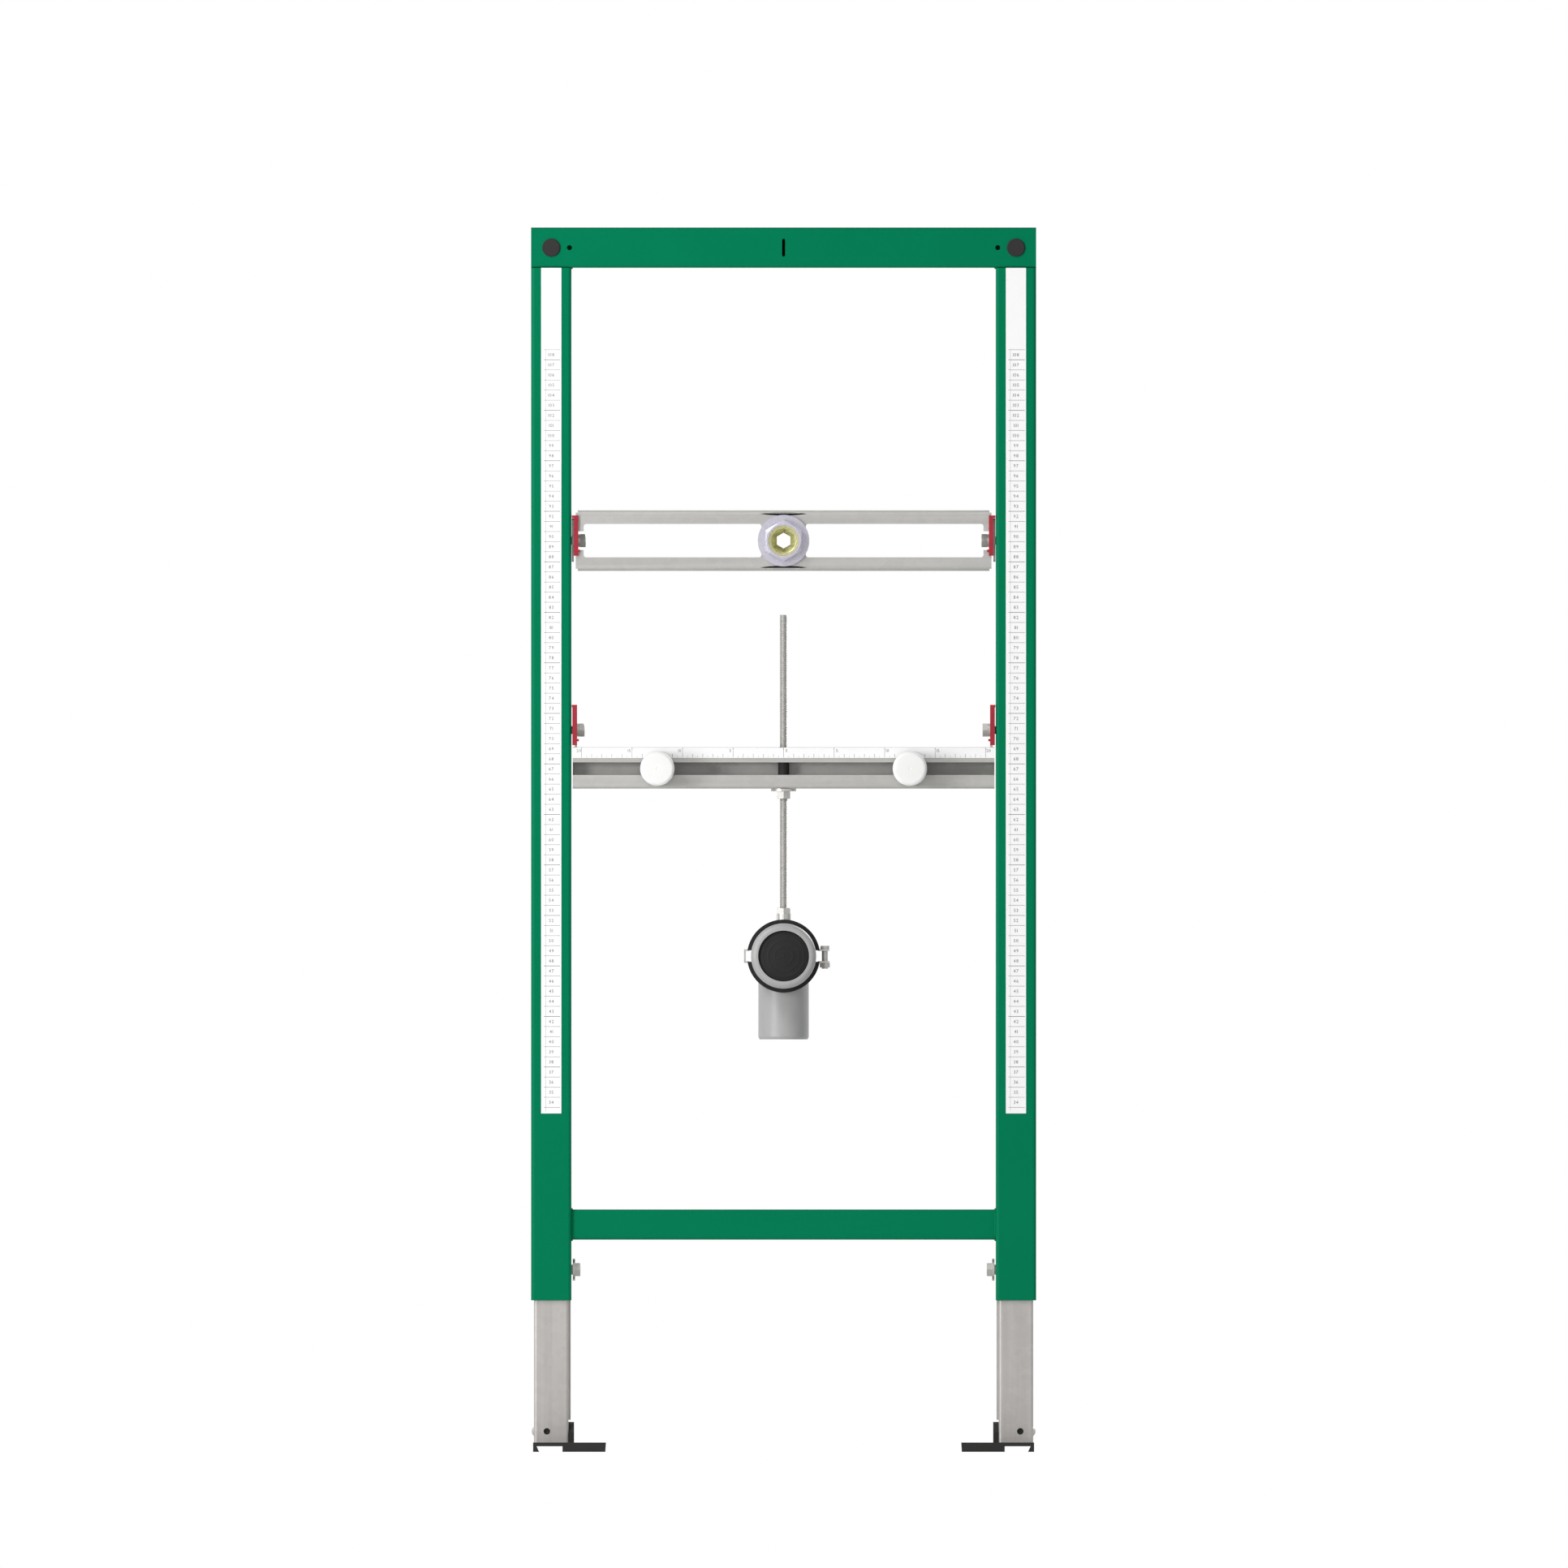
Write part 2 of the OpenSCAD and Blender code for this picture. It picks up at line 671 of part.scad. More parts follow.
// Plates that slide on the posts' inner faces
module upper_slide_plates() {
  back_x = upper_end_x + clip_jaw;
  for (s = [-1, 1]) on_side(s) color("silver") translate([0, 0, upper_rail_z]) difference() {
    along_x(-slide_x, -back_x) translate([0, 1]) rounded_rect(slide_plate_w, slide_plate_h, 3);
    translate([-slide_x - eps, front_y - eps, clip_h - clip_drop - clip_hook_t - slide_gap]) {
      cube([slide_x, post_w + 2 * eps, slide_plate_h]);
    }
    x_cylinder(-slide_x - eps, -back_x + eps, thread_d + bolt_gap);
  }
}

module upper_bolts() {
  for (s = [-1, 1]) on_side(s) rail_bolt(upper_plate_x, upper_rail_z);
}

module upper_slot_nuts() {
  for (s = [-1, 1]) on_side(s) slot_nut(upper_rail_z);
}

// Flanged hexagon nut in front of the upper rail
module inlet_nut() {
  flange_y = rail_front_y - inlet_flange_t;
  color("lightgray") translate([0, 0, upper_rail_z]) difference() {
    union() {
      y_cylinder(flange_y, rail_front_y, inlet_flange_d);
      translate([0, flange_y + eps, 0]) rotate([90, 0, 0]) {
        rotate(90) hex_head(inlet_hex, inlet_hex_h + eps);
      }
    }
    y_cylinder(flange_y - inlet_hex_h - eps, rail_front_y + eps, inlet_body_d + 2 * thread_gap);
  }
}

// Sloping sides of the funnel, seen from above
module funnel_slab(y0, y1, w0, w1) {
  translate([0, 0, -inlet_hex]) linear_extrude(height = 2 * inlet_hex) {
    polygon([[-w0 / 2, y0], [w0 / 2, y0], [w1 / 2, y1], [-w1 / 2, y1]]);
  }
}

// Six-sided funnel along Y
module hexagon_funnel(y0, y1, w0, w1) {
  intersection() {
    funnel_slab(y0, y1, w0, w1);
    rotate([0, 60, 0]) funnel_slab(y0, y1, w0, w1);
    rotate([0, 120, 0]) funnel_slab(y0, y1, w0, w1);
  }
}

// Straight-through brass body: threaded socket in front, a hexagon hole for the
// fitting key in its floor, and the supply thread behind
module inlet_body() {
  mouth_y = rail_front_y - inlet_flange_t - inlet_hex_h + 1;
  socket_y = mouth_y + inlet_mouth_bevel;
  floor_y = socket_y + inlet_socket_len;
  pad_y = rail_front_y + rail_t + inlet_pad_t;
  collar_end = pad_y + inlet_collar_len;
  thread_end = collar_end + supply_len;
  funnel_w = inlet_socket_d * cos(30) - 0.4;
  color("gold") translate([0, 0, upper_rail_z]) difference() {
    union() {
      y_cylinder(mouth_y, pad_y + eps, inlet_body_d);
      along_y(pad_y, collar_end) rotate(90) hexagon(inlet_hex);
      y_cylinder(collar_end - eps, thread_end - 1, supply_d);
      y_cone(thread_end - 1, thread_end, supply_d, supply_d - 2);
    }
    y_cone(mouth_y - eps, socket_y, inlet_socket_d + 2 * (inlet_mouth_bevel + eps), inlet_socket_d);
    y_cylinder(socket_y - eps, floor_y, inlet_socket_d);
    hexagon_funnel(floor_y - 0.01, floor_y + inlet_funnel_len, funnel_w, inlet_key_w);
    along_y(floor_y, thread_end + eps) rotate(90) hexagon(inlet_key_w);
  }
}

// Outline of the pad: wider behind the curved reliefs than behind the bridge
module pad_shape(h) {
  end_h = 8;
  square([bridge_w - 2, h], center = true);
  for (sz = [-1, 1]) translate([0, sz * (h - end_h) / 2]) square([relief_w + 2, end_h], center = true);
}

// Sound-damping pad between the rail and the brass body
module inlet_pad() {
  pad_y = rail_front_y + rail_t;
  pad_h = upper_rail_h - 2 * rail_t - 2 * slide_gap;
  bend_inside = rail_bend - rail_t;
  color("black") translate([0, 0, upper_rail_z]) difference() {
    union() {
      along_y(pad_y, pad_y + bend_inside + 0.1) pad_shape(pad_h - 2 * bend_inside);
      along_y(pad_y + bend_inside, pad_y + inlet_pad_t) pad_shape(pad_h);
    }
    y_cylinder(rail_front_y, pad_y + inlet_pad_t + eps, inlet_body_d + 2 * thread_gap);
  }
}

// Lower rail

module lower_rail() {
  color("lightgray") difference() {
    union() {
      translate([0, 0, lower_rail_z]) along_x(-lower_end_x, lower_end_x) {
        translate([rail_front_y + lower_rail_depth / 2, 0]) {
          tube_section(lower_rail_depth, lower_rail_h, rail_t, rail_bend - 1);
        }
      }
      for (s = [-1, 1]) on_side(s) translate([-lug_outer_x, rail_front_y, lower_rail_top - 1]) {
        cube([rail_t, lower_rail_depth, lug_h + 1]);
      }
    }
    translate([-lower_end_x - eps, rail_front_y - eps, rail_slot_z - rail_slot_w / 2]) {
      cube([2 * (lower_end_x + eps), rail_t + 2 * eps, rail_slot_w]);
    }
    for (s = [-1, 1]) on_side(s) translate([0, 0, lower_bolt_z]) {
      x_cylinder(-lug_outer_x - eps, -lug_plate_x + eps, thread_d + bolt_gap);
    }
    translate([0, rod_y, lower_rail_bottom - eps]) {
      cylinder(h = lower_rail_h + 2 * eps, d = sleeve_d + 2 * thread_gap);
    }
  }
}

module lower_scale() {
  color("white") translate([-lower_end_x, rail_front_y - scale_t, lower_rail_top - rail_scale_h]) {
    cube([2 * lower_end_x, scale_t, rail_scale_h - 0.4]);
  }
}

module lower_clip(s) {
  on_side(s) clip(lug_plate_x, lug_outer_x, lug_outer_x + clip_jaw + 0.4, lower_bolt_z);
}

module lower_bolts() {
  for (s = [-1, 1]) on_side(s) rail_bolt(lug_plate_x, lower_bolt_z);
}

module lower_slot_nuts() {
  for (s = [-1, 1]) on_side(s) slot_nut(lower_bolt_z);
}

// Guide sleeve that lines the rod's way through the lower rail
module rod_sleeve() {
  color("black") translate([0, rod_y, lower_rail_bottom]) difference() {
    cylinder(h = lower_rail_h, d = sleeve_d);
    translate([0, 0, -eps]) cylinder(h = lower_rail_h + 2 * eps, d = thread_d + bolt_gap);
  }
}

module rod_nut() {
  nut_z = lower_rail_bottom - rod_washer_t - rod_nut_h;
  color("silver") translate([0, rod_y, nut_z]) difference() {
    union() {
      translate([0, 0, rod_nut_h + 0.2]) mirror([0, 0, 1]) rotate(30) hex_head(hex_size, rod_nut_h + 0.2);
      translate([0, 0, rod_nut_h]) cylinder(h = rod_washer_t, d = rod_washer_d);
    }
    translate([0, 0, -eps]) cylinder(h = rod_nut_h + rod_washer_t + 2 * eps, d = thread_d + bolt_gap);
  }
}

// Fixing studs

// T-head stud: its head slides inside the C-rail, its collar in front of it
module stud(s) {
  head_y = rail_front_y + rail_t + slide_gap;
  collar_y = rail_front_y - scale_t - slide_gap;
  color("silver") on_side(s) translate([-stud_spacing / 2, 0, rail_slot_z]) {
    along_y(head_y, head_y + stud_head_t) rounded_rect(stud_head_w, stud_head_w, 3);
    y_cylinder(collar_y - stud_reach, head_y + eps, stud_d);
    y_cylinder(collar_y - stud_collar_t, collar_y, stud_head_w);
  }
}

// Protective cap: an open-backed cup with a central tube on the stud
module stud_cap(s) {
  back_y = rail_front_y - scale_t - slide_gap - stud_collar_t;
  face_y = back_y - cap_len;
  tube_d = stud_d + 2 * thread_gap;
  color("white") on_side(s) translate([-stud_spacing / 2, 0, rail_slot_z]) difference() {
    union() {
      difference() {
        union() {
          y_cylinder(face_y + cap_bevel, back_y, cap_d);
          y_cone(face_y, face_y + cap_bevel, cap_d - 2 * cap_bevel, cap_d);
        }
        y_cylinder(face_y + cap_bevel + cap_wall, back_y + eps, cap_d - 2 * cap_wall);
      }
      y_cylinder(face_y + 1, back_y, tube_d + 3.6);
    }
    y_cylinder(back_y - stud_reach + 2, back_y + eps, tube_d);
  }
}

// Rod, pipe clamp and waste elbow

module threaded_rod() {
  color("silver") translate([0, rod_y, rod_bottom]) cylinder(h = rod_len, d = thread_d);
}

// Half angle that one clamp gap takes away at the radius r
function gap_angle(r) = asin(clamp_gap / 2 / r);

// One half of a ring round the pipe's axis, between the two gaps
module half_ring(s, r0, r1, y0, y1) {
  a = gap_angle((r0 + r1) / 2);
  translate([0, 0, clamp_z]) rotate([90, s > 0 ? -a : 180 - a, 0]) {
    rotate_extrude(angle = 180 - 2 * a) translate([r0, -y1]) square([r1 - r0, y1 - y0]);
  }
}

// Upper and lower band with their ears, the loop on the left and the boss on top
module pipe_clamp() {
  r0 = socket_r + lining_t;
  y0 = rod_y - band_w / 2;
  y1 = rod_y + band_w / 2;
  ear_w = band_w - 4;
  ear_out = clamp_screw_x + clamp_head_d / 2;
  loop_x = ring_r + 3;
  boss_base = ring_r - 0.8;
  color("silver") difference() {
    union() {
      for (s = [-1, 1]) half_ring(s, r0, ring_r, y0, y1);
      for (z = [clamp_z + ear_z, clamp_z - ear_z - ear_t]) {
        translate([socket_r, rod_y - ear_w / 2, z]) cube([ear_out - socket_r, ear_w, ear_t]);
        translate([-loop_x, rod_y - ear_w / 2, z]) cube([loop_x - socket_r, ear_w, ear_t]);
      }
      translate([-loop_x, rod_y - ear_w / 2, clamp_z - ear_z - ear_t]) {
        cube([ear_t, ear_w, 2 * (ear_z + ear_t)]);
      }
      translate([0, rod_y, clamp_z + boss_base]) {
        cylinder(h = ring_r - boss_base + boss_h / 2, d = boss_d);
        rotate(30) hex_head(hex_size, ring_r - boss_base + boss_h);
      }
    }
    translate([0, 0, clamp_z]) y_cylinder(y0 - eps, y1 + eps, 2 * r0);
    translate([0, rod_y, rod_bottom]) cylinder(h = 2 * boss_h, d = thread_d + 2 * thread_gap);
    translate([clamp_screw_x, rod_y, clamp_z - 2 * ear_z]) {
      cylinder(h = 4 * ear_z, d = clamp_screw_d + bolt_gap);
    }
  }
}

// Rubber halves that grip both edges of the band
module clamp_lining() {
  r0 = socket_r + thread_gap;
  y0 = rod_y - band_w / 2 - lining_rim;
  y1 = rod_y + band_w / 2 + lining_rim;
  color("black") for (s = [-1, 1]) {
    half_ring(s, r0, socket_r + lining_t, y0, y1);
    for (y = [y0, y1 - lining_rim]) {
      half_ring(s, socket_r + lining_t - 0.2, socket_r + lining_t + band_t, y, y + lining_rim);
    }
  }
}

// Screw with a round head on the upper ear and a nut under the lower one
module clamp_screw() {
  top_z = ear_z + ear_t;
  tail = 1.2;
  color("silver") translate([clamp_screw_x, rod_y, clamp_z]) {
    translate([0, 0, top_z]) cylinder(h = clamp_head_h, d = clamp_head_d);
    translate([0, 0, -top_z - clamp_nut_h - tail]) {
      cylinder(h = 2 * top_z + clamp_nut_h + tail + eps, d = clamp_screw_d);
    }
    translate([0, 0, -top_z - clamp_nut_h]) linear_extrude(height = clamp_nut_h) {
      rotate(30) hexagon(clamp_nut_w);
    }
  }
}

// The elbow's outer or inner skin from the socket to the given end
module elbow_skin(r, start_y, end_z) {
  y_cylinder(start_y, socket_back_y + socket_neck, 2 * r);
  translate([0, socket_back_y + socket_neck, -elbow_r]) rotate([90, 0, 90]) {
    rotate_extrude(angle = 90) translate([elbow_r, 0]) circle(r = r);
  }
  translate([0, elbow_y, end_z]) cylinder(h = -elbow_r - end_z, r = r);
}

module waste_elbow() {
  rim = 6;
  floor_t = 3;
  color("silver") translate([0, 0, clamp_z]) difference() {
    union() {
      translate([0, socket_front_y, 0]) rotate([-90, 0, 0]) rotate_extrude() {
        difference() {
          union() {
            translate([0, rim]) square([socket_r, socket_len - rim]);
            square([socket_r - rim, rim]);
            translate([socket_r - rim, rim]) circle(r = rim);
          }
          translate([0, -rim]) square([socket_r, rim]);
          translate([-2 * rim, -rim]) square([2 * rim, socket_len + rim]);
        }
      }
      y_cone(socket_back_y - eps, socket_back_y + floor_t, 2 * (socket_r - floor_t), pipe_d + 1);
      elbow_skin(pipe_r, socket_back_y - eps, spigot_bevel - elbow_drop);
      translate([0, elbow_y, -elbow_drop]) {
        cylinder(h = spigot_bevel, r1 = pipe_r - 0.6 * pipe_wall, r2 = pipe_r);
      }
    }
    elbow_skin(bore_r, socket_back_y - floor_t - eps, -elbow_drop - eps);
    y_cylinder(socket_front_y - eps, socket_back_y - floor_t, 2 * mouth_r);
    y_cylinder(socket_front_y + chamber_y, socket_front_y + chamber_y + chamber_len, 2 * chamber_r);
  }
}

// Black rubber seal with a closed, slightly domed face
module elbow_seal() {
  face_r = mouth_r - thread_gap;
  lip_y = chamber_y - seal_y;
  seal_len = chamber_len - slide_gap;
  wall = 2.2;
  dome_h = 2.2;
  dome_r = (face_r * face_r + dome_h * dome_h) / 2 / dome_h;
  color("black") translate([0, socket_front_y + seal_y, clamp_z]) rotate([-90, 0, 0]) rotate_extrude() {
    difference() {
      union() {
        translate([0, lip_y]) square([chamber_r - thread_gap, seal_len]);
        square([face_r, lip_y + eps]);
        intersection() {
          translate([0, dome_r - dome_h]) circle(r = dome_r, $fn = 180);
          translate([0, -dome_h]) square([face_r, dome_h + eps]);
        }
      }
      translate([-eps, wall]) square([face_r - wall + eps, seal_len + lip_y]);
    }
  }
}

top_bar();
post(-1);  // left_post
post(1);  // right_post
bottom_bar();
wall_plug(-1);  // left_wall_plug
wall_plug(1);  // right_wall_plug
scale_strip(-1);  // left_scale
scale_strip(1);  // right_scale
leg_bolt(-1);  // left_leg_bolt
leg_bolt(1);  // right_leg_bolt
leg_nut(-1);  // left_leg_nut
leg_nut(1);  // right_leg_nut
leg(-1);  // left_leg
foot(-1);  // left_foot
foot_bolt(-1);  // left_foot_bolt
leg(1);  // right_leg
foot(1);  // right_foot
foot_bolt(1);  // right_foot_bolt
upper_rail();
upper_clip(-1);  // upper_left_clip
upper_clip(1);  // upper_right_clip
upper_slide_plates();
upper_bolts();
upper_slot_nuts();
inlet_nut();
inlet_body();
inlet_pad();
lower_rail();
lower_scale();
lower_clip(-1);  // lower_left_clip
lower_clip(1);  // lower_right_clip
lower_bolts();
lower_slot_nuts();
rod_sleeve();
rod_nut();
stud(-1);  // left_stud
stud_cap(-1);  // left_stud_cap
stud(1);  // right_stud
stud_cap(1);  // right_stud_cap
threaded_rod();
pipe_clamp();
clamp_lining();
clamp_screw();
waste_elbow();
elbow_seal();
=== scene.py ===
import json
import math

import bmesh
import bpy
import numpy as np
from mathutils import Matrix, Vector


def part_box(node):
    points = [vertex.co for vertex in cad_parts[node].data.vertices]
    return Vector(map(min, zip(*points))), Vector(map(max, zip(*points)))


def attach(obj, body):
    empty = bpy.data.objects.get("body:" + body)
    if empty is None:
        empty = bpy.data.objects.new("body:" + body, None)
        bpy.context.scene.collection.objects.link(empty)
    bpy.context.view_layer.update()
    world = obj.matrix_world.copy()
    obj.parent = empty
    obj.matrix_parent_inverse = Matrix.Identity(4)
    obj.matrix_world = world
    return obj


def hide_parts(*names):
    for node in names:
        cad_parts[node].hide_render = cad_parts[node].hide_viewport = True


# Looks of the urinal installation frame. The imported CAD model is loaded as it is;
# this script gives its surfaces their finishes and adds threads, prints, welds and
# moulded or turned pieces. Front is -Y, the floor is z = 0, lengths are metres.

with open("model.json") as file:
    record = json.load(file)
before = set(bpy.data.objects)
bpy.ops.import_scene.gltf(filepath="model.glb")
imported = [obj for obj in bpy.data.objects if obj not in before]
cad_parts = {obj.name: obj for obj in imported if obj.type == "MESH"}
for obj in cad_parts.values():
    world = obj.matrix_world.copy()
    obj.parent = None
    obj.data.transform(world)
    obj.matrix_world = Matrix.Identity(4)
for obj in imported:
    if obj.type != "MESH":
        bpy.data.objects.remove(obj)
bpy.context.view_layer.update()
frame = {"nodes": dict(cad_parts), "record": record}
nodes = frame["nodes"]
MM = 0.001


# Finishes

def paint(red, green, blue):
    """A colour written as 0 to 255 display values, turned into the linear values of a shader."""
    shares = np.array([red, green, blue]) / 255
    linear = np.where(shares > 0.04045, ((shares + 0.055) / 1.055) ** 2.4, shares / 12.92)
    return (*linear.tolist(), 1.0)


class Value:
    """A number that varies over a surface. Arithmetic on it adds Math nodes to its finish."""

    def __init__(self, finish, socket):
        self.finish = finish
        self.socket = socket

    def math(self, operation, first, second):
        return self.finish.node("ShaderNodeMath", {"operation": operation}, {0: first, 1: second})

    def __add__(self, other):
        return self.math("ADD", self, other)

    def __sub__(self, other):
        return self.math("SUBTRACT", self, other)

    def __rsub__(self, other):
        return self.math("SUBTRACT", other, self)

    def __mul__(self, other):
        return self.math("MULTIPLY", self, other)

    def __gt__(self, other):
        return self.math("GREATER_THAN", self, other)

    __radd__ = __add__
    __rmul__ = __mul__


class Finish:
    """One surface finish: a material whose shader is fed by procedural nodes."""

    def __init__(self, name, constants):
        self.material = bpy.data.materials.new(name)
        self.material.use_nodes = True
        self.tree = self.material.node_tree
        self.shader = self.tree.nodes["Principled BSDF"]
        for socket, value in constants.items():
            self.shader.inputs[socket].default_value = value
        self.place = self.node("ShaderNodeTexCoord", {}, {}, "Object")

    def node(self, kind, settings, inputs, output=0):
        """Adds a node: its settings first, then the values or links of its sockets."""
        made = self.tree.nodes.new(kind)
        for setting, value in settings.items():
            setattr(made, setting, value)
        for socket, value in inputs.items():
            if isinstance(value, Value):
                self.tree.links.new(value.socket, made.inputs[socket])
            else:
                made.inputs[socket].default_value = value
        return Value(self, made.outputs[output])

    def feed(self, socket, value):
        self.tree.links.new(value.socket, self.shader.inputs[socket])

    def stretched(self, along):
        """Object coordinates in metres, each axis multiplied by its share."""
        return self.node("ShaderNodeMapping", {"vector_type": "POINT"}, {"Vector": self.place, "Scale": along})

    def noise(self, size, detail=2.0, along=(1, 1, 1)):
        """Soft noise between 0 and 1 whose lumps are about the given size across."""
        return self.node("ShaderNodeTexNoise", {"noise_dimensions": "3D"}, {
            "Vector": self.stretched(along), "Scale": 1 / size, "Detail": detail, "Roughness": 0.55})

    def cells(self, size, along=(1, 1, 1)):
        """Crystal cells of the given size, each with its own value between 0 and 1."""
        colours = self.node("ShaderNodeTexVoronoi", {"feature": "F1"}, {
            "Vector": self.stretched(along), "Scale": 1 / size, "Randomness": 1.0}, "Color")
        return self.node("ShaderNodeSeparateColor", {"mode": "RGB"}, {"Color": colours})

    def ramp(self, value, low, high):
        """0 below low, 1 above high and a smooth step between them."""
        return self.node("ShaderNodeMapRange", {"interpolation_type": "SMOOTHSTEP"}, {
            "Value": value, "From Min": low, "From Max": high})

    def mix(self, amount, first, second):
        """Colour mix from first to second."""
        return self.node("ShaderNodeMix", {"data_type": "RGBA"}, {0: amount, 6: first, 7: second}, 2)

    def relief(self, height, depth):
        """Raises the surface's look by depth where height is 1."""
        self.feed("Normal", self.node("ShaderNodeBump", {}, {
            "Strength": 1.0, "Distance": depth, "Height": height}))


def green_powder_coat():
    """Satin green powder coat with the fine orange peel of a baked finish."""
    coat = Finish("green powder coat", {"Specular IOR Level": 0.04})
    cloudy = coat.noise(90 * MM, 3.0)
    peel = coat.noise(1.6 * MM, 2.0)
    coat.feed("Base Color", coat.mix(cloudy, paint(0, 116, 78), paint(1, 121, 83)))
    coat.feed("Roughness", 0.34 + 0.1 * coat.noise(0.5 * MM))
    coat.relief(peel, 0.05 * MM)
    return coat.material


def zinc_sheet(name, along, dark, light, roughness):
    """Galvanised steel: faint crystal cells under rolling streaks that run along the piece."""
    zinc = Finish(name, {"Metallic": 0.4, "Specular IOR Level": 0.3})
    streaks = zinc.noise(0.7 * MM, 3.0, along)
    broad = zinc.noise(9 * MM, 2.0, along)
    crystals = zinc.cells(7 * MM)
    tone = 0.45 * zinc.ramp(broad, 0.3, 0.7) + 0.25 * crystals + 0.3 * streaks
    zinc.feed("Base Color", zinc.mix(tone, dark, light))
    zinc.feed("Roughness", roughness + 0.12 * streaks - 0.06 * crystals)
    zinc.relief(streaks + 0.3 * crystals, 0.012 * MM)
    return zinc.material


def zinc_hardware():
    """Bright zinc plate on bolts, nuts and the clamp, with fine pits and a slight bloom."""
    zinc = Finish("bright zinc plate", {"Metallic": 0.6, "Specular IOR Level": 0.5})
    bloom = zinc.noise(4 * MM, 3.0)
    zinc.feed("Base Color", zinc.mix(bloom, paint(176, 175, 172), paint(204, 202, 198)))
    zinc.feed("Roughness", 0.26 + 0.16 * bloom)
    zinc.relief(zinc.noise(0.35 * MM), 0.01 * MM)
    return zinc.material


def turned_metal(name, dark, light, middle):
    """Lathe-turned metal: fine rings round the fitting's axis, which runs along Y."""
    metal = Finish(name, {"Metallic": 0.45, "Specular IOR Level": 0.4})
    centred = metal.node("ShaderNodeMapping", {"vector_type": "POINT"}, {
        "Vector": metal.place, "Location": (0, 0, -middle)})
    rings = metal.node("ShaderNodeTexWave", {
        "wave_type": "RINGS", "rings_direction": "Y", "wave_profile": "SIN"}, {
        "Vector": centred, "Scale": 0.9 / MM, "Distortion": 0.6, "Detail": 1.0}, "Fac")
    stain = metal.noise(5 * MM, 3.0)
    metal.feed("Base Color", metal.mix(0.7 * stain + 0.3 * rings, dark, light))
    metal.feed("Roughness", 0.2 + 0.14 * stain)
    metal.relief(rings, 0.006 * MM)
    return metal.material


def moulded_plastic(name, dark, light, roughness, grain, depth):
    """Moulded plastic or rubber: a fine spark-eroded grain and a slow change of tone."""
    plastic = Finish(name, {"Specular IOR Level": 0.15})
    plastic.feed("Base Color", plastic.mix(plastic.noise(25 * MM, 3.0), dark, light))
    plastic.feed("Roughness", roughness + 0.12 * plastic.noise(grain * 2))
    plastic.relief(plastic.noise(grain, 2.0), depth)
    return plastic.material


def extruded_pipe_plastic():
    """Grey pipe plastic: smooth with shallow flow lines from the mould."""
    pipe = Finish("grey pipe plastic", {"Specular IOR Level": 0.45})
    flow = pipe.noise(6 * MM, 2.0, (1, 1, 0.2))
    pipe.feed("Base Color", pipe.mix(flow, paint(160, 160, 160), paint(170, 170, 169)))
    pipe.feed("Roughness", 0.34 + 0.1 * pipe.noise(1 * MM))
    pipe.relief(pipe.noise(2.5 * MM), 0.02 * MM)
    return pipe.material


def printing_ink():
    """Thin dark ink that covers the film a little unevenly."""
    ink = Finish("dark printing ink", {"Specular IOR Level": 0.3})
    ink.feed("Base Color", ink.mix(ink.noise(0.8 * MM), paint(70, 70, 72), paint(112, 111, 110)))
    ink.feed("Roughness", 0.45 + 0.1 * ink.noise(0.5 * MM))
    return ink.material


def studio_floor():
    """Matt pale floor."""
    floor = Finish("pale studio floor", {"Specular IOR Level": 0.1})
    floor.feed("Base Color", floor.mix(floor.noise(0.5), paint(238, 238, 238), paint(242, 242, 242)))
    floor.feed("Roughness", 0.85 + 0.05 * floor.noise(0.01))
    return floor.material


inlet_low, inlet_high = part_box("inlet_nut")
inlet_z = (inlet_low.z + inlet_high.z) / 2

finishes = {
    "green_paint": green_powder_coat(),
    "galvanised_tube": zinc_sheet(
        "galvanised leg tube", (1, 1, 0.03), paint(170, 166, 163), paint(190, 186, 183), 0.42),
    "galvanised_sheet": zinc_sheet(
        "galvanised rail sheet", (0.03, 1, 1), paint(172, 171, 168), paint(192, 190, 187), 0.4),
    "zinc_bolts": zinc_hardware(),
    "nickel_nut": turned_metal("nickel plate", paint(186, 183, 196), paint(208, 205, 216), inlet_z),
    "brass": turned_metal("pale brass", paint(208, 206, 150), paint(230, 228, 180), inlet_z),
    "black_plastic": moulded_plastic(
        "black glass-filled plastic", paint(42, 42, 42), paint(50, 50, 49), 0.5, 0.4 * MM, 0.03 * MM),
    "white_plastic": moulded_plastic(
        "white cap plastic", paint(236, 236, 235), paint(243, 243, 242), 0.32, 0.8 * MM, 0.01 * MM),
    "scale_film": moulded_plastic(
        "white scale film", paint(243, 243, 243), paint(248, 248, 248), 0.28, 1.5 * MM, 0.006 * MM),
    "red_plastic": moulded_plastic(
        "red clip plastic", paint(150, 42, 54), paint(168, 52, 62), 0.38, 0.5 * MM, 0.02 * MM),
    "grey_plastic": extruded_pipe_plastic(),
    "black_rubber": moulded_plastic(
        "black rubber", paint(32, 32, 32), paint(42, 42, 42), 0.5, 0.3 * MM, 0.02 * MM),
}
ink = printing_ink()

for part in frame["record"]["subparts"]:
    solid = nodes[part["node"]]
    solid.data.materials.clear()
    solid.data.materials.append(finishes[part["material_slot"]])


# Shapes

def grid_faces(rows, columns, round_rows=False, round_columns=True):
    """Quads between neighbouring rows and columns of a grid; either direction may close round."""
    row = np.arange(rows if round_rows else rows - 1)[:, None]
    column = np.arange(columns if round_columns else columns - 1)[None, :]
    next_row = (row + 1) % rows
    next_column = (column + 1) % columns
    corners = [row * columns + column, row * columns + next_column,
               next_row * columns + next_column, next_row * columns + column]
    return np.stack(corners, axis=-1).reshape(-1, 4)


